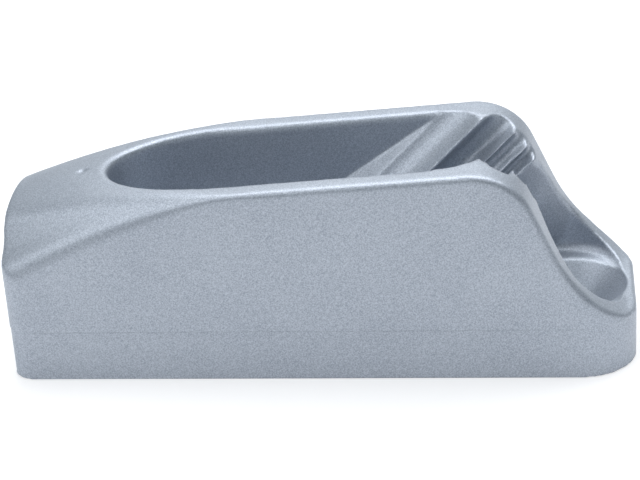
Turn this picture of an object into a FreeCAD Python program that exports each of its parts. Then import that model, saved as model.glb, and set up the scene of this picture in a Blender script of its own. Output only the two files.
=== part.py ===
import FreeCAD, Part
import math
import os
import Sketcher

# A one piece cast jam cleat, in millimetres.
# X runs along the cleat: the rope enters the tunnel at the low end and leaves over the tail
# screw at the high end. Y runs across it, and Z is up from the deck.
# The features are drawn from the tunnel end. The body is then centred on the origin.

SIZES = [
    # name, value, meaning
    ("length", 82.5, "tunnel end to tail end"),
    ("width", 26.0, "across the flat sides"),
    ("crown_height", 28.4, "deck to the highest point, over the teeth"),
    ("tail_reach", 20.9, "the highest point to the tail end"),
    ("crown_radius", 8.3, "rounding from the top line into the drop"),
    ("top_slope", 3.9, "rise of the top line, degrees"),
    ("drop_slope", 65.5, "fall behind the teeth, degrees"),
    ("tail_radius", 22.0, "hollow curve from the drop to the tail lip"),
    ("lip_height", 7.3, "height of the tail lip"),
    ("lip_length", 1.2, "level part of the tail lip"),
    ("tail_corner", 7.4, "plan radius of the two tail corners"),
    ("rim_round", 0.8, "rounding of the outer top edge"),
    ("bow_corner", 2.6, "plan radius of the two corners at the tunnel end"),
    ("end_round", 0.6, "rounding of the outline of the tunnel end"),
    # fluted shoulders beside the roof of the tunnel
    ("bow_length", 34.0, "part of the length whose section changes"),
    ("flute_length", 29.0, "where the shoulders fade into the outer top edge"),
    ("roof_blend", 24.3, "where the roof starts to curve down"),
    ("roof_radius", 105.0, "curve of the roof along the cleat"),
    ("shoulder_round", 4.4, "turn from the flat side into the flute"),
    ("flute_radius", 8.0, "hollow of the flute"),
    ("ridge_round", 4.2, "turn from the flute onto the roof"),
    ("flute_low_slope", 29.0, "slope of the flute at its foot, degrees"),
    ("flute_high_slope", 61.0, "slope of the flute below the roof, degrees"),
    ("roof_edge_slope", 16.0, "slope at the edges of the arched roof, degrees"),
    # rope tunnel
    ("tunnel_radius", 4.5, "bore of the rope tunnel"),
    ("tunnel_height", 14.6, "deck to the tunnel axis"),
    ("tunnel_length", 20.0, "reach of the tunnel into the pocket"),
    ("mouth_round", 1.5, "bell mouth of the tunnel"),
    # pocket and tail recess, seen from above
    ("floor_height", 7.1, "deck to the floor of the pocket and the tail recess"),
    ("floor_round", 1.5, "rounding between that floor and the walls"),
    ("pocket_start", 13.2, "tip of the pocket"),
    ("pocket_nose", 15.0, "length of the pointed end of the pocket"),
    ("pocket_half", 9.4, "half width of the pocket"),
    ("recess_half", 10.3, "half width of the tail recess"),
    ("recess_corner", 8.0, "plan radius of the two corners of the tail recess"),
    ("lip_wall", 1.0, "wall left at the tail end"),
    ("pocket_round", 0.8, "rounding of the top edge of the pocket"),
    # jaws, measured on the level plane through the crown
    ("jaw_taper", 14.0, "slope of each jaw face from upright, degrees"),
    ("tooth_lean", 47.0, "lean of the teeth towards the tail, degrees"),
    ("jaw_half", 5.9, "half gap between the first two pairs of crests"),
    ("first_crest", 1.2, "the highest point to the first tooth crest"),
    ("first_tooth", 6.2, "first crest to the second"),
    ("second_tooth", 3.9, "second crest to the third"),
    ("third_tooth", 2.7, "third crest to the last"),
    ("third_back", 0.7, "how far the third crest stands back from the first"),
    ("last_back", 1.1, "how far the last crest stands back from the first"),
    ("first_hollow", 3.2, "depth of the hollow behind the first crest"),
    ("second_hollow", 1.8, "depth of the hollow behind the second crest"),
    ("third_hollow", 1.8, "depth of the hollow behind the third crest"),
    ("hollow_round", 0.8, "roundness of the hollows, 1 for half circles"),
    ("ramp_length", 5.3, "lead in from the pocket wall to the first crest"),
    ("web_height", 11.5, "deck to the floor between the jaws"),
    # screw holes
    ("hole_spacing", 48.0, "between the two screw holes"),
    ("tail_hole", 8.5, "tail hole axis to the tail end"),
    ("screw_bore", 5.3, "clearance for a 5 mm screw"),
    ("screw_head", 14.8, "wide countersink, which sinks the head of that screw below the floor"),
    ("screw_cone", 90.0, "angle of that countersink, degrees"),
]

doc = FreeCAD.newDocument("JamCleat")
sheet = doc.addObject("Spreadsheet::Sheet", "Sizes")
for row, (name, value, meaning) in enumerate(SIZES, start=1):
    sheet.set("A%d" % row, name)
    sheet.set("B%d" % row, str(value))
    sheet.set("C%d" % row, meaning)
    sheet.setAlias("B%d" % row, name)
doc.recompute()


def size(name):
    """One named size, as a number."""
    return float(sheet.get(name))


def tilt(name):
    """One named slope of the sheet, in radians."""
    return math.radians(size(name))


def plane(body, role):
    """The origin plane of the body that has this role."""
    return next(item for item in body.Origin.OriginFeatures if item.Role == role)


def new_sketch(body, name, role, offset=None):
    """An empty sketch on an origin plane, moved along the plane's normal by an expression."""
    sketch = body.newObject("Sketcher::SketchObject", name)
    sketch.AttachmentSupport = [(plane(body, role), "")]
    sketch.MapMode = "FlatFace"
    if offset is not None:
        sketch.setExpression("AttachmentOffset.Base.z", offset)
    return sketch


def at(x, y):
    return FreeCAD.Vector(x, y, 0)


def arc_through(start, middle, end):
    """An anticlockwise arc through three points, and whether it ends where it was to start."""
    circle = Part.Arc(at(*start), at(*middle), at(*end)).toShape().Curve
    centre = circle.Center
    first, last = (math.atan2(p[1] - centre.y, p[0] - centre.x) for p in (start, end))
    turn = (middle[0] - start[0]) * (end[1] - middle[1]) - (middle[1] - start[1]) * (end[0] - middle[0])
    clockwise = turn < 0
    if clockwise:
        first, last = last, first
    upright = Part.Circle(centre, FreeCAD.Vector(0, 0, 1), circle.Radius)
    return Part.ArcOfCircle(upright, first, last), clockwise


def draw_loop(sketch, pieces):
    """Draw pieces end to end as one closed loop and join their ends.

    A piece is (start, end) for a line or (start, middle, end) for an arc.
    """
    base = sketch.GeometryCount
    backward = []
    for piece in pieces:
        if len(piece) == 2:
            shape, clockwise = Part.LineSegment(at(*piece[0]), at(*piece[1])), False
        else:
            shape, clockwise = arc_through(*piece)
        sketch.addGeometry(shape, False)
        backward.append(clockwise)
    for i, clockwise in enumerate(backward):
        after = (i + 1) % len(pieces)
        end = 1 if clockwise else 2
        start = 2 if backward[after] else 1
        sketch.addConstraint(Sketcher.Constraint("Coincident", base + i, end, base + after, start))


def dimension(sketch, kind, *where):
    """Add a dimension whose value is bound to an expression, the last item."""
    *items, expression = where
    value = sketch.evalExpression(expression)
    value = value.getValueAs("rad").Value if kind == "Angle" else float(value)
    index = sketch.addConstraint(Sketcher.Constraint(kind, *items, value))
    sketch.setExpression("Constraints[%d]" % index, expression)


# The outer block

def crown_x():
    """Where the highest point lies along the cleat."""
    return size("length") - size("tail_reach")


def top_line(x):
    """Height of the straight top line at a place along the cleat."""
    slope = tilt("top_slope")
    touch_x = crown_x() - size("crown_radius") * math.sin(slope)
    touch_z = size("crown_height") - size("crown_radius") * (1 - math.cos(slope))
    return touch_z - math.tan(slope) * (touch_x - x)


def roof_line(x):
    """Height of the roof, which leaves the top line in one long curve."""
    past = max(size("roof_blend") - x, 0.0)
    return top_line(x) - past ** 2 / (2 * size("roof_radius"))


def turned(start, heading, turn, run):
    """Middle and end of an arc that starts on a heading and turns evenly over its run."""
    def chord(share):
        half = turn * share / 2
        reach = run * share * (math.sin(half) / half if abs(half) > 1e-9 else 1.0)
        return (start[0] + reach * math.cos(heading + half), start[1] + reach * math.sin(heading + half))
    return chord(0.5), chord(1.0)


def shoulder(x):
    """The three arcs from the flat side up to the roof, at a place along the cleat.

    They change evenly from the fluted shoulder of the tunnel end into the plain
    rounded edge of the rim. There they are rounder than the rim by 0.1 mm, so that the two
    meet in a clean step too small to see.
    """
    share = min(x / size("flute_length"), 1.0)
    low, high, edge = tilt("flute_low_slope"), tilt("flute_high_slope"), tilt("roof_edge_slope")
    quarter = math.pi / 2
    plain = (size("rim_round") + 0.1) * quarter / 3
    at_end = (
        (quarter, low - quarter, size("shoulder_round") * (quarter - low)),
        (low, high - low, size("flute_radius") * (high - low)),
        (high, edge - high, size("ridge_round") * (high - edge)),
    )
    third = quarter / 3
    at_rim = ((quarter, -third, plain), (2 * third, -third, plain), (third, -third, plain))
    arcs = []
    start = (0.0, 0.0)
    for fluted, rounded in zip(at_end, at_rim):
        heading, turn, run = (a + (b - a) * share for a, b in zip(fluted, rounded))
        middle, end = turned(start, heading, turn, run)
        arcs.append((start, middle, end))
        start = end
    return arcs


def bow_section(body, name, x):
    """One closed section across the cleat: base, flat sides, shoulders and roof."""
    half = size("width") / 2
    arcs = shoulder(x)
    rise = arcs[-1][-1][1]
    side = roof_line(x) - rise
    left = [tuple((p[0] - half, p[1] + side) for p in piece) for piece in arcs]
    right = [tuple((-p[0], p[1]) for p in reversed(piece)) for piece in reversed(left)]
    pieces = [((-half, 0.0), (-half, side))] + left
    edge = left[-1][-1]
    arch = tilt("roof_edge_slope") * max(1 - x / size("flute_length"), 0.0)
    crown = (0.0, edge[1] - edge[0] * math.tan(arch / 2))
    pieces.append((edge, crown, right[0][0]) if arch > 0.001 else (edge, right[0][0]))
    pieces += right + [((half, side), (half, 0.0)), ((half, 0.0), (-half, 0.0))]
    sketch = new_sketch(body, name, "YZ_Plane")
    sketch.AttachmentOffset = FreeCAD.Placement(FreeCAD.Vector(0, 0, x), FreeCAD.Rotation())
    draw_loop(sketch, pieces)
    return sketch


def stern_profile(body):
    """The side view from the bow to the tail, with every size bound to the sheet."""
    sketch = new_sketch(body, "SternProfile", "XZ_Plane")
    start, length, lip = size("bow_length"), size("length"), size("lip_height")
    lip_start = length - size("lip_length")
    rise, drop = tilt("top_slope"), tilt("drop_slope")
    radius = size("crown_radius")
    centre = (crown_x(), size("crown_height") - radius)

    def on_crown(angle):
        return (centre[0] + radius * math.sin(angle), centre[1] + radius * math.cos(angle))

    foot = (on_crown(drop)[0] + 2.8, on_crown(drop)[1] - 2.8 * math.tan(drop))
    draw_loop(sketch, [
        ((start, 0.0), (length, 0.0)),
        ((length, 0.0), (length, lip)),
        ((length, lip), (lip_start, lip)),
        ((lip_start, lip), ((foot[0] + lip_start) / 2 - 1.0, (foot[1] + lip) / 2 - 1.0), foot),
        (foot, on_crown(drop)),
        (on_crown(drop), on_crown((drop - rise) / 2), on_crown(-rise)),
        (on_crown(-rise), (start, top_line(start))),
        ((start, top_line(start)), (start, 0.0)),
    ])
    base, end, level, tail, fall, crown, top, cut = range(8)
    for item, kind in ((base, "Horizontal"), (end, "Vertical"), (level, "Horizontal"), (cut, "Vertical")):
        sketch.addConstraint(Sketcher.Constraint(kind, item))
    sketch.addConstraint(Sketcher.Constraint("Tangent", tail, fall))
    sketch.addConstraint(Sketcher.Constraint("Tangent", fall, crown))
    sketch.addConstraint(Sketcher.Constraint("Tangent", crown, top))
    dimension(sketch, "Angle", top, "Sizes.top_slope * 1 deg - 180 deg")
    dimension(sketch, "Angle", fall, "180 deg - Sizes.drop_slope * 1 deg")
    dimension(sketch, "DistanceX", -1, 1, base, 1, "Sizes.bow_length")
    sketch.addConstraint(Sketcher.Constraint("PointOnObject", base, 1, -1))
    dimension(sketch, "DistanceX", -1, 1, base, 2, "Sizes.length")
    dimension(sketch, "DistanceY", end, 1, end, 2, "Sizes.lip_height")
    dimension(sketch, "DistanceX", level, 2, level, 1, "Sizes.lip_length")
    dimension(sketch, "Radius", tail, "Sizes.tail_radius")
    dimension(sketch, "Radius", crown, "Sizes.crown_radius")
    dimension(sketch, "DistanceX", -1, 1, crown, 3, "Sizes.length - Sizes.tail_reach")
    dimension(sketch, "DistanceY", -1, 1, crown, 3, "Sizes.crown_height - Sizes.crown_radius")
    return sketch


def edges_where(feature, test):
    """Names of the edges of a feature that pass a test."""
    return ["Edge%d" % (i + 1) for i, edge in enumerate(feature.Shape.Edges) if test(edge)]


def close(a, b):
    return abs(a - b) < 0.01


def make_body(name):
    return doc.addObject("PartDesign::Body", name)


def make_stern(name):
    """A body with the plain part of the block: side view, tail corners and rounded rim."""
    body = make_body(name)
    profile = stern_profile(body)
    doc.recompute()
    stern = body.newObject("PartDesign::Pad", "Stern")
    stern.Profile = profile
    stern.Midplane = True
    stern.setExpression("Length", "Sizes.width")
    doc.recompute()

    def upright_at_tail(edge):
        box = edge.BoundBox
        return close(box.XMin, size("length")) and close(box.XMax, size("length")) and box.ZLength > 1

    corners = body.newObject("PartDesign::Fillet", "TailCorners")
    corners.Base = (stern, edges_where(stern, upright_at_tail))
    corners.setExpression("Radius", "Sizes.tail_corner")
    doc.recompute()

    def outer_top(edge):
        box = edge.BoundBox
        if box.ZMin < 1 or close(box.XMax, size("bow_length")):
            return False
        on_side = box.YLength < 0.01 and close(abs(box.YMin), size("width") / 2)
        return on_side or box.XMin > size("length") - size("tail_corner") - 0.01

    rim = body.newObject("PartDesign::Fillet", "RimRound")
    rim.Base = (corners, edges_where(corners, outer_top))
    rim.setExpression("Radius", "Sizes.rim_round")
    doc.recompute()
    return body


def add_bow(body):
    """The fluted tunnel end: a loft, its two plan corners and its rounded outline."""
    stations = [size("flute_length") * step / 5 for step in range(6)] + [size("bow_length")]
    sections = [bow_section(body, "BowSection%d" % i, x) for i, x in enumerate(stations, start=1)]
    doc.recompute()
    bow = body.newObject("PartDesign::AdditiveLoft", "Bow")
    bow.Profile = sections[0]
    bow.Sections = sections[1:]
    doc.recompute()

    corners = new_sketch(body, "BowCorners", "XY_Plane")
    turn = size("bow_corner")
    # a little flatter than a quarter circle, so it meets the flat sides in a clean edge
    back = turn * (1 - math.sqrt(0.5)) * 1.12
    for side in (1, -1):
        out = side * size("width") / 2
        draw_loop(corners, [
            ((turn, out), (back, out - side * back), (0.0, out - side * turn)),
            ((0.0, out - side * turn), (-1.0, out - side * turn)),
            ((-1.0, out - side * turn), (-1.0, out + side)),
            ((-1.0, out + side), (turn, out + side)),
            ((turn, out + side), (turn, out)),
        ])
    doc.recompute()
    trimmed = body.newObject("PartDesign::Pocket", "TrimBowCorners")
    trimmed.Profile = corners
    trimmed.Reversed = True
    trimmed.setExpression("Length", "Sizes.crown_height")
    doc.recompute()

    def end_outline(edge):
        """Edges round the tunnel end, above the flat sides."""
        box = edge.BoundBox
        return box.XMax < turn + 0.01 and box.ZMin > size("floor_height") and box.YLength > 0.05

    end = body.newObject("PartDesign::Fillet", "EndRound")
    end.Base = (trimmed, edges_where(trimmed, end_outline))
    end.setExpression("Radius", "Sizes.end_round")
    doc.recompute()
    return end


# The screw holes

def screw_profile(body, name, place):
    """Half section of a screw hole: clearance bore, countersink and room for the head."""
    sketch = new_sketch(body, name + "Profile", "XZ_Plane")
    floor, bore, head = size("floor_height"), size("screw_bore") / 2, size("screw_head") / 2
    axis = float(sketch.evalExpression(place))
    throat = floor - (head - bore) / math.tan(tilt("screw_cone") / 2)
    clear = floor + size("floor_round")
    draw_loop(sketch, [
        ((axis, -1.0), (axis + bore, -1.0)),
        ((axis + bore, -1.0), (axis + bore, throat)),
        ((axis + bore, throat), (axis + head, floor)),
        ((axis + head, floor), (axis + head, clear)),
        ((axis + head, clear), (axis, clear)),
        ((axis, clear), (axis, -1.0)),
    ])
    foot, wall, cone, side, top, middle = range(6)
    for item, kind in ((foot, "Horizontal"), (top, "Horizontal"), (wall, "Vertical"), (side, "Vertical")):
        sketch.addConstraint(Sketcher.Constraint(kind, item))
    sketch.addConstraint(Sketcher.Constraint("Vertical", middle))
    dimension(sketch, "DistanceX", -1, 1, foot, 1, place)
    dimension(sketch, "DistanceX", foot, 1, foot, 2, "Sizes.screw_bore / 2")
    dimension(sketch, "DistanceX", top, 2, top, 1, "Sizes.screw_head / 2")
    dimension(sketch, "DistanceY", foot, 1, -1, 1, "1")
    dimension(sketch, "DistanceY", -1, 1, cone, 2, "Sizes.floor_height")
    dimension(sketch, "DistanceY", side, 1, side, 2, "Sizes.floor_round")
    dimension(sketch, "Angle", cone, "90 deg - Sizes.screw_cone * 0.5 deg")
    return sketch


def add_screw_room(body, name, place):
    """The room that a screw hole takes, turned round its axis."""
    profile = screw_profile(body, name, place)
    doc.recompute()
    room = body.newObject("PartDesign::Revolution", name)
    room.Profile = profile
    room.ReferenceAxis = (profile, ["Edge6"])
    room.Angle = 360
    doc.recompute()


# The room for the rope

def rope_plan(sketch):
    """The pocket and the tail recess from above: one closed loop round the centre line."""
    nose_x, wide = size("pocket_start") + size("pocket_nose"), size("pocket_half")
    tail, corner = size("recess_half"), size("recess_corner")
    end_x = size("length") - size("lip_wall")
    turn_x, straight = end_x - corner, tail - corner
    reach = corner * math.sqrt(0.5)
    nose = Part.Ellipse(at(size("pocket_start"), 0), at(nose_x, wide), at(nose_x, 0))
    sketch.addGeometry(Part.ArcOfEllipse(nose, -math.pi / 2, math.pi / 2), False)
    sketch.addGeometry(Part.LineSegment(at(end_x, straight), at(end_x, -straight)), False)
    for side in (1, -1):
        points = [
            (nose_x, side * wide),
            (crown_x(), side * wide),
            (crown_x() + size("first_crest") + size("first_tooth"), side * tail),
            (turn_x, side * tail),
        ]
        for start, end in zip(points, points[1:]):
            sketch.addGeometry(Part.LineSegment(at(*start), at(*end)), False)
        arc, _ = arc_through(
            points[-1], (turn_x + reach, side * (straight + reach)), (end_x, side * straight))
        sketch.addGeometry(arc, False)


def make_room():
    """All the room inside as one body: pocket, tail recess, tunnel and screw holes."""
    body = make_body("InnerRoom")
    plan = new_sketch(body, "RopePlan", "XY_Plane", "Sizes.floor_height")
    rope_plan(plan)
    doc.recompute()
    room = body.newObject("PartDesign::Pad", "Room")
    room.Profile = plan
    room.setExpression("Length", "Sizes.crown_height")
    doc.recompute()

    def on_floor(edge):
        return close(edge.BoundBox.ZMax, size("floor_height"))

    floor = body.newObject("PartDesign::Fillet", "FloorRound")
    floor.Base = (room, edges_where(room, on_floor))
    floor.setExpression("Radius", "Sizes.floor_round")
    doc.recompute()

    section = new_sketch(body, "TunnelSection", "XZ_Plane")
    axis, mouth, inner = size("tunnel_height"), size("mouth_round"), size("tunnel_length")
    top = axis + size("tunnel_radius")
    bulge = mouth * (1 - math.sqrt(0.5))
    draw_loop(section, [
        ((-mouth, axis), (inner, axis)),
        ((inner, axis), (inner, top)),
        ((inner, top), (mouth, top)),
        ((mouth, top), (bulge, top + bulge), (0.0, top + mouth)),
        ((0.0, top + mouth), (-mouth, top + mouth)),
        ((-mouth, top + mouth), (-mouth, axis)),
    ])
    doc.recompute()
    tunnel = body.newObject("PartDesign::Revolution", "Tunnel")
    tunnel.Profile = section
    tunnel.ReferenceAxis = (section, ["Edge1"])
    tunnel.Angle = 360
    doc.recompute()
    add_screw_room(body, "TailScrew", "Sizes.length - Sizes.tail_hole")
    add_screw_room(body, "PocketScrew", "Sizes.length - Sizes.tail_hole - Sizes.hole_spacing")
    return body


# The toothed jaws

def hollow(low, high, depth):
    """The hollow between two crests: a round bottom and the two flanks that touch it."""
    chord = math.hypot(high[0] - low[0], high[1] - low[1])
    along = ((high[0] - low[0]) / chord, (high[1] - low[1]) / chord)
    radius = size("hollow_round") * chord / 2
    centre = depth - radius
    far = math.hypot(chord / 2, centre)
    slope = math.atan2(centre, chord / 2) + math.asin(radius / far)
    flank = math.sqrt(far ** 2 - radius ** 2)
    run, deep = flank * math.cos(slope), flank * math.sin(slope)

    def place(x, y):
        return (low[0] + x * along[0] - y * along[1], low[1] + x * along[1] + y * along[0])

    left, bottom, right = place(run, deep), place(chord / 2, depth), place(chord - run, deep)
    return [(low, left), (left, bottom, right), (right, high)]


def jaw_outline(seen):
    """One jaw: ramp, teeth, flare and a plain back.

    Its places are stated on the level plane through the crown, and seen carries them into
    the sketch. Also returned are where the first and the last crest stand.
    """
    half = size("jaw_half")
    ramp, wall = size("ramp_length"), size("pocket_half") + 0.2
    crests = [(crown_x() + size("first_crest"), half)]
    for pitch, back in (("first_tooth", 0.0), ("second_tooth", size("third_back")),
                        ("third_tooth", size("last_back"))):
        crests.append((crests[-1][0] + size(pitch), half + back))
    radius = (ramp ** 2 + (wall - half) ** 2) / (2 * (wall - half))
    turn = math.asin(ramp / radius) / 2
    start = (crests[0][0] - ramp, wall)
    middle = (start[0] + radius * math.sin(turn), wall - radius * (1 - math.cos(turn)))
    last = crests[-1]
    flare, mouth = (last[0] + 9.0, half + 5.9), (last[0] + 28.0, half + 12.8)
    behind = (start[0] - 8.0, wall + 5.3)
    outside = size("width")
    loop = [tuple(seen(*place) for place in (start, middle, crests[0]))]
    for low, high, depth in zip(crests, crests[1:], ("first_hollow", "second_hollow", "third_hollow")):
        loop += hollow(seen(*low), seen(*high), size(depth))
    rest = [last, flare, mouth, (mouth[0], outside), (behind[0], outside), behind, start]
    loop.append((seen(*last), seen(last[0] + 2.6, half + 3.3), seen(*flare)))
    loop += [(seen(*a), seen(*b)) for a, b in zip(rest[1:], rest[2:])]
    return loop, crests[0][0], last[0]


def make_jaws():
    """Both jaws, drawn square to their teeth, and the web that joins them."""
    body = make_body("Jaws")
    lean, taper = math.tan(tilt("tooth_lean")), math.tan(tilt("jaw_taper"))
    up = FreeCAD.Vector(lean, taper, 1).normalize()
    along = FreeCAD.Vector(0, 1, 0).cross(up).normalize()
    across = up.cross(along)

    def seen(x, y):
        """A place on the crown plane, seen along the teeth."""
        return (at(x, y).dot(along), at(x, y).dot(across))

    loop, first, last = jaw_outline(seen)
    plan = new_sketch(body, "ToothPlan", "XY_Plane")
    level = FreeCAD.Vector(0, 0, size("crown_height"))
    plan.AttachmentOffset = FreeCAD.Placement(level, FreeCAD.Rotation(along, across, up, "ZXY"))
    draw_loop(plan, loop)
    doc.recompute()
    jaw = body.newObject("PartDesign::Pad", "Jaw")
    jaw.Profile = plan
    jaw.Midplane = True
    jaw.setExpression("Length", "2 * Sizes.length")
    doc.recompute()
    pair = body.newObject("PartDesign::Mirrored", "JawPair")
    pair.Originals = [jaw]
    pair.MirrorPlane = (plane(body, "XZ_Plane"), [""])
    body.Tip = pair
    doc.recompute()

    below = new_sketch(body, "JawFootPlan", "XY_Plane", "Sizes.floor_height - 1")
    reach = 4 * size("length")
    corners = [(-reach, -reach), (reach, -reach), (reach, reach), (-reach, reach)]
    draw_loop(below, list(zip(corners, corners[1:] + corners[:1])))
    doc.recompute()
    foot = body.newObject("PartDesign::Pocket", "JawFoot")
    foot.Profile = below
    foot.Type = "ThroughAll"
    doc.recompute()

    top, sunk = size("web_height"), size("floor_height") - 1.0
    front, rear = (x - (size("crown_height") - top) * lean for x in (first, last))
    spread = top - sunk
    side = new_sketch(body, "WebProfile", "XZ_Plane")
    draw_loop(side, [
        ((front, top), (rear, top)),
        ((rear, top), (rear + spread, sunk)),
        ((rear + spread, sunk), (front - spread * lean, sunk)),
        ((front - spread * lean, sunk), (front, top)),
    ])
    doc.recompute()
    web = body.newObject("PartDesign::Pad", "Web")
    web.Profile = side
    web.Midplane = True
    web.setExpression("Length", "Sizes.jaw_half * 1.5")
    doc.recompute()
    return body


def combine(body, name, kind, tool):
    """Cut, trim or join a body with another body."""
    step = body.newObject("PartDesign::Boolean", name)
    step.setObjects([tool])
    step.Type = kind
    doc.recompute()
    return step


def pocket_rim(edge):
    """Top edges of the pocket, as far as the crown."""
    box = edge.BoundBox
    place = edge.valueAt((edge.FirstParameter + edge.LastParameter) / 2)
    inside = max(abs(box.YMin), abs(box.YMax)) < size("pocket_half") + 0.3
    level = abs(place.z - roof_line(place.x)) < 1.0
    return inside and level and size("pocket_start") - 0.2 < place.x < crown_x()


cleat = make_stern("CleatBody")
cleat.Label = "cleat_body"
add_bow(cleat)
opened = combine(cleat, "TakeRoom", "Cut", make_room())
rim = cleat.newObject("PartDesign::Fillet", "PocketRim")
rim.Base = (opened, edges_where(opened, pocket_rim))
rim.setExpression("Radius", "Sizes.pocket_round")
doc.recompute()
blank = make_stern("JawBlank")
combine(blank, "TrimJaws", "Common", make_jaws())
combine(cleat, "AddJaws", "Fuse", blank)
cleat.setExpression("Placement.Base.x", "-Sizes.length / 2")
doc.recompute()

for item in doc.Objects:
    if "Invalid" in item.State or "Error" in item.State:
        raise RuntimeError("%s did not build: %s" % (item.Label, item.State))
solid = cleat.Shape
if solid.isNull() or not solid.isValid() or len(solid.Solids) != 1:
    raise RuntimeError("the cleat is not one valid solid")

os.makedirs("parts", exist_ok=True)
solid.exportStep("parts/%s.step" % cleat.Label)
print("volume %.0f cubic mm, %d faces" % (solid.Volume, len(solid.Faces)))
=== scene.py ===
import math

import bmesh
import bpy
from mathutils import Matrix, Vector
from mathutils.kdtree import KDTree


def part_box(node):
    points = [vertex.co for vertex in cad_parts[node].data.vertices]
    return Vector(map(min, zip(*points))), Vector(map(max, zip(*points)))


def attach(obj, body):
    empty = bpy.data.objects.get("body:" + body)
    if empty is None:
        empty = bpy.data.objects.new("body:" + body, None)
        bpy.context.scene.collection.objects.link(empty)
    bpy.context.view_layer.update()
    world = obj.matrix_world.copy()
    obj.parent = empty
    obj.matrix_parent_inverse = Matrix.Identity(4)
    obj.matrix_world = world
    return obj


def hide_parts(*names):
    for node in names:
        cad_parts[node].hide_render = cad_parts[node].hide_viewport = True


MM = 0.001

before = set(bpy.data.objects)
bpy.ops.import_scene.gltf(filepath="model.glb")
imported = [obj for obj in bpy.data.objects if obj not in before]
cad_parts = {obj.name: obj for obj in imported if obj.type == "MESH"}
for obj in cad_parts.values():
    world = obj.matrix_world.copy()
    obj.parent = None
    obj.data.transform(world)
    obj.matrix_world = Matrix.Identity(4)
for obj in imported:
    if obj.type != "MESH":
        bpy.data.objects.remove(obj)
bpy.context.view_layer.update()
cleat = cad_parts["cleat_body"]
low, high = (Vector(corner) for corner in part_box("cleat_body"))
tail = high.x

# The casting is a fine mesh of the solid. Its crisp edges are smoothed least, the crests of
# the teeth most, and all the rest in between.

voxel = 0.24 * MM
merge_distance = 0.002 * MM
crisp_angle = math.radians(24)
crisp_reach = 0.5 * MM
smooth_factor = 0.5
crisp_passes = 3
soft_passes = 12
tip_passes = 30
kept_share = 0.37
shading_weight = 50

# teeth and jaws: the front line leans with the teeth and is stated at the top
jaw_start = tail - 21.5 * MM
jaw_end = tail - 9.0 * MM
jaw_side = 5.2 * MM
tip_side = 7.6 * MM
tooth_tops = 20.5 * MM
tooth_lean = math.tan(math.radians(47))
teeth_length = 16.0 * MM

# room behind the jaws: its rims, and the edge of its floor
cavity_side = 11.6 * MM
cavity_floor = 8.2 * MM
lip_inside = tail - 3.0 * MM
recess_start = tail - 16.5 * MM
floor_low = 5.8 * MM
floor_high = 9.5 * MM

# parting line of the mould, round the upright outer walls
parting_height = 6.9 * MM
parting_step = 0.09 * MM
outer_wall = 0.6 * MM
upright = 0.3
tail_bend = tail - 8.0 * MM
tail_facing = 0.15

# a small pit on the roof over the tunnel
pock_place = Vector((-31.6, -0.2, 24.5)) * MM
pock_radius = 0.7 * MM
pock_depth = 0.22 * MM


def is_tip(point):
    """Crests of the leaning teeth and their upper ends, which the casting rounds most."""
    from_front = point.x - jaw_start + (high.z - point.z) * tooth_lean
    on_crest = 0.0 < from_front < teeth_length and point.z > cavity_floor
    on_top = jaw_start < point.x < jaw_end and point.z > tooth_tops
    return abs(point.y) < tip_side and (on_crest or on_top)


def is_soft(point):
    """Teeth, the rims of the tooth hollows, and the rims and floor edge of the recess."""
    on_rim = jaw_side < abs(point.y) < cavity_side and point.z > cavity_floor
    on_floor = (
        abs(point.y) < cavity_side
        and floor_low < point.z < floor_high
        and point.x > recess_start)
    return is_tip(point) or (on_rim or on_floor) and jaw_start < point.x < lip_inside


def crisp_points(mesh):
    """Points along every sharp edge that the casting keeps crisp.

    The facets of the mesh are joined on the way.
    """
    solid = bmesh.new()
    solid.from_mesh(mesh)
    bmesh.ops.remove_doubles(solid, verts=solid.verts, dist=merge_distance)
    points = []
    for edge in solid.edges:
        if len(edge.link_faces) == 2 and edge.calc_face_angle(0.0) > crisp_angle:
            start, end = (vert.co.copy() for vert in edge.verts)
            count = max(1, int((end - start).length / (crisp_reach / 2)))
            points += [start.lerp(end, step / count) for step in range(count + 1)]
    solid.to_mesh(mesh)
    solid.free()
    return [point for point in points if not is_soft(point)]


def search_tree(points):
    """The points, ready to be searched for the nearest one."""
    tree = KDTree(len(points))
    for index, point in enumerate(points):
        tree.insert(point, index)
    tree.balance()
    return tree


def add_modifier(piece, kind, **values):
    """A modifier of this kind with these settings."""
    item = piece.modifiers.new(kind.lower(), kind)
    for key, value in values.items():
        setattr(item, key, value)


def apply_modifiers(piece):
    """The modifiers' result becomes the piece's own mesh."""
    seen = piece.evaluated_get(bpy.context.evaluated_depsgraph_get())
    mesh = bpy.data.meshes.new_from_object(seen)
    piece.modifiers.clear()
    piece.data = mesh


def add_group(piece, name, belongs):
    """A vertex group of all vertices whose places belong to it."""
    members = [vert.index for vert in piece.data.vertices if belongs(vert.co)]
    piece.vertex_groups.new(name=name).add(members, 1.0, "REPLACE")


def soften(piece):
    """The piece as a fine even mesh with soft edges."""
    crisp = search_tree(crisp_points(piece.data))
    add_modifier(piece, "REMESH", mode="VOXEL", voxel_size=voxel)
    apply_modifiers(piece)
    add_group(piece, "free", lambda place: crisp.find(place)[2] > crisp_reach)
    add_group(piece, "tips", is_tip)
    for passes, group in ((crisp_passes, ""), (soft_passes, "free"), (tip_passes, "tips")):
        add_modifier(
            piece, "SMOOTH", factor=smooth_factor, iterations=passes, vertex_group=group)
    apply_modifiers(piece)


def on_outer_wall(vert):
    """Upright walls of the outside, not those of the room inside."""
    place, facing = vert.co, vert.normal
    to_box = min(place.x - low.x, high.x - place.x, place.y - low.y, high.y - place.y)
    round_tail = place.x > tail_bend and facing.x > tail_facing
    return abs(facing.z) < upright and (to_box < outer_wall or round_tail)


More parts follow.
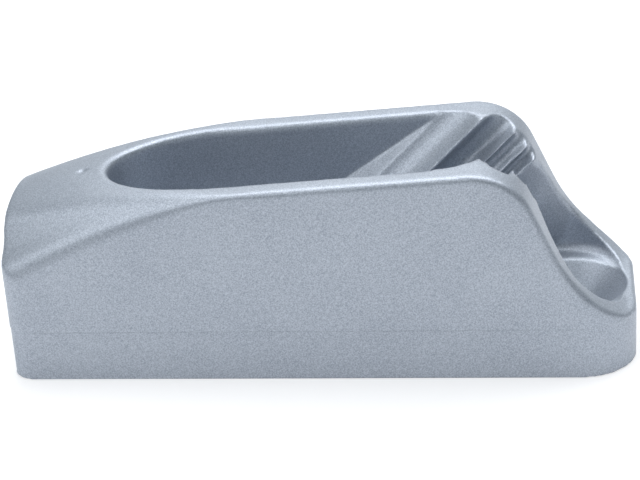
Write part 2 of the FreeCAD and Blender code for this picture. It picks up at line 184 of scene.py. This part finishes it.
def add_mould_marks(piece):
    """The lower half of the mould a hair smaller than the upper one, and the small pit."""
    moved = []
    for vert in piece.data.vertices:
        from_pock = (vert.co - pock_place).length / pock_radius
        if vert.co.z < parting_height and on_outer_wall(vert):
            moved.append((vert, vert.co - vert.normal * parting_step))
        elif from_pock < 1.0:
            moved.append((vert, vert.co - vert.normal * pock_depth * (1.0 - from_pock ** 2)))
    for vert, place in moved:
        vert.co = place


def lighten(piece):
    """Fewer triangles, and smooth shading that breaks only at the parting line."""
    piece.data.shade_smooth()
    add_modifier(piece, "DECIMATE", ratio=kept_share)
    apply_modifiers(piece)
    for edge in piece.data.edges:
        ends = [piece.data.vertices[index].co.z - parting_height for index in edge.vertices]
        edge.use_edge_sharp = max(abs(end) for end in ends) < voxel
    add_modifier(piece, "WEIGHTED_NORMAL", weight=shading_weight, keep_sharp=True)
    apply_modifiers(piece)
    piece.vertex_groups.clear()


def cast_copy(node, name):
    """The solid of a node as a casting."""
    piece = bpy.data.objects.new(name, node.data.copy())
    bpy.context.scene.collection.objects.link(piece)
    soften(piece)
    add_mould_marks(piece)
    lighten(piece)
    return piece


casting = cast_copy(cleat, "casting")
print("casting triangles", sum(len(face.vertices) - 2 for face in casting.data.polygons))


# Cast metal. The places and distances of its texture are in metres.

metal_share = 0.65
metal_roughness = 0.47
grain_scale = 6000.0
cloud_scale = 90.0
cloud_share = 0.12
metal_dark = (0.36, (0.33, 0.367, 0.432, 1))
metal_light = (0.64, (0.51, 0.556, 0.622, 1))
grain_strength = 0.4
grain_height = 0.00004


def new_material(name):
    """A new material, with its nodes and links."""
    material = bpy.data.materials.new(name)
    material.use_nodes = True
    return material, material.node_tree.nodes, material.node_tree.links


def cast_metal():
    """Satin blue-grey metal with the fine sparkle and grain of a tumbled casting."""
    material, nodes, links = new_material("cast_metal")
    shader = nodes["Principled BSDF"]
    shader.inputs["Metallic"].default_value = metal_share
    shader.inputs["Roughness"].default_value = metal_roughness
    place = nodes.new("ShaderNodeTexCoord")
    # turned, so that no flat side lies along the noise's own planes
    turned = nodes.new("ShaderNodeMapping")
    turned.inputs["Rotation"].default_value = (0.4, 0.7, 0.2)
    links.new(place.outputs["Object"], turned.inputs["Vector"])

    def noise(scale, detail, rough):
        """Noise in the turned places of the casting."""
        texture = nodes.new("ShaderNodeTexNoise")
        texture.inputs["Scale"].default_value = scale
        texture.inputs["Detail"].default_value = detail
        texture.inputs["Roughness"].default_value = rough
        links.new(turned.outputs["Vector"], texture.inputs["Vector"])
        return texture

    grain = noise(grain_scale, 1.0, 0.5)
    cloud = noise(cloud_scale, 3.0, 0.55)
    # sockets 2 and 3 take the two numbers that a mix of numbers mixes
    mix = nodes.new("ShaderNodeMix")
    mix.data_type = "FLOAT"
    mix.inputs[0].default_value = cloud_share
    links.new(grain.outputs["Fac"], mix.inputs[2])
    links.new(cloud.outputs["Fac"], mix.inputs[3])
    ramp = nodes.new("ShaderNodeValToRGB")
    for stop, (position, color) in zip(ramp.color_ramp.elements, (metal_dark, metal_light)):
        stop.position = position
        stop.color = color
    links.new(mix.outputs[0], ramp.inputs["Fac"])
    links.new(ramp.outputs["Color"], shader.inputs["Base Color"])
    bump = nodes.new("ShaderNodeBump")
    bump.inputs["Strength"].default_value = grain_strength
    bump.inputs["Distance"].default_value = grain_height
    links.new(grain.outputs["Fac"], bump.inputs["Height"])
    links.new(bump.outputs["Normal"], shader.inputs["Normal"])
    return material


metal = cast_metal()
for shown in (cleat, casting):
    shown.data.materials.clear()
    shown.data.materials.append(metal)
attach(casting, "root")
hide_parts("cleat_body")


# Floor. It lies a hair below the foot, so that the two never lie in one plane.

floor_size = 6.0
floor_height = -0.05 * MM
paper_color = (0.65, 0.65, 0.66, 1)
paper_glow = 0.5


def paper_material():
    """White paper. A little light of its own lifts it to white where it is seen or mirrored."""
    material, nodes, links = new_material("paper")
    nodes.clear()
    out = nodes.new("ShaderNodeOutputMaterial")
    matt = nodes.new("ShaderNodeBsdfDiffuse")
    matt.inputs["Color"].default_value = paper_color
    glow = nodes.new("ShaderNodeEmission")
    seen = nodes.new("ShaderNodeLightPath")

    def calculate(operation, *values):
        """One step of arithmetic on sockets and plain numbers."""
        step = nodes.new("ShaderNodeMath")
        step.operation = operation
        for socket, value in zip(step.inputs, values):
            if isinstance(value, float):
                socket.default_value = value
            else:
                links.new(value, socket)
        return step.outputs[0]

    mirrored = calculate(
        "MAXIMUM", seen.outputs["Is Glossy Ray"], seen.outputs["Is Transmission Ray"])
    visible = calculate("MAXIMUM", seen.outputs["Is Camera Ray"], mirrored)
    links.new(calculate("MULTIPLY", visible, paper_glow), glow.inputs["Strength"])
    total = nodes.new("ShaderNodeAddShader")
    links.new(matt.outputs[0], total.inputs[0])
    links.new(glow.outputs[0], total.inputs[1])
    links.new(total.outputs[0], out.inputs["Surface"])
    return material


bpy.ops.mesh.primitive_plane_add(size=floor_size, location=(0, 0, floor_height))
paper = bpy.context.object
paper.name = "paper_floor"
paper.data.materials.append(paper_material())


# Light: soft boxes that face the cleat, and an even, slightly blue world

soft_boxes = [
    # name, place and width and height in metres, power in watts
    ("top_box", (0.05, 0.17, 0.58), 0.65, 0.55, 3.7),
    ("left_box", (-0.35, -0.28, 0.44), 0.4, 0.3, 1.05),
    ("front_box", (0.0, -0.60, 0.10), 0.8, 0.16, 0.15),
    ("back_box", (0.10, 0.60, 0.38), 0.9, 0.35, 0.8),
]
world_color = (0.84, 0.94, 1.0, 1)
world_strength = 0.27


def softbox(name, place, width, height, power):
    """A rectangular area light that faces the origin."""
    light = bpy.data.lights.new(name, "AREA")
    light.shape = "RECTANGLE"
    light.size = width
    light.size_y = height
    light.energy = power
    lamp = bpy.data.objects.new(name, light)
    bpy.context.scene.collection.objects.link(lamp)
    lamp.location = place
    lamp.rotation_euler = (-Vector(place)).to_track_quat("-Z", "Y").to_euler()


for box in soft_boxes:
    softbox(*box)

world = bpy.data.worlds.new("studio")
bpy.context.scene.world = world
world.use_nodes = True
background = world.node_tree.nodes["Background"]
background.inputs["Color"].default_value = world_color
background.inputs["Strength"].default_value = world_strength


# Camera, fitted to the outlines and the upright edges in the photo

camera = bpy.data.cameras.new("camera")
camera.sensor_width = 36.0
camera.lens = 112.5
view = bpy.data.objects.new("camera", camera)
bpy.context.scene.collection.objects.link(view)
view.matrix_world = Matrix((
    (0.99327, 0.01142, 0.11524, 0.03033),
    (0.09880, 0.43555, -0.89473, -0.23887),
    (-0.06041, 0.90009, 0.43149, 0.12903),
    (0.0, 0.0, 0.0, 1.0),
))
bpy.context.scene.camera = view
bpy.context.scene.view_settings.view_transform = "Standard"
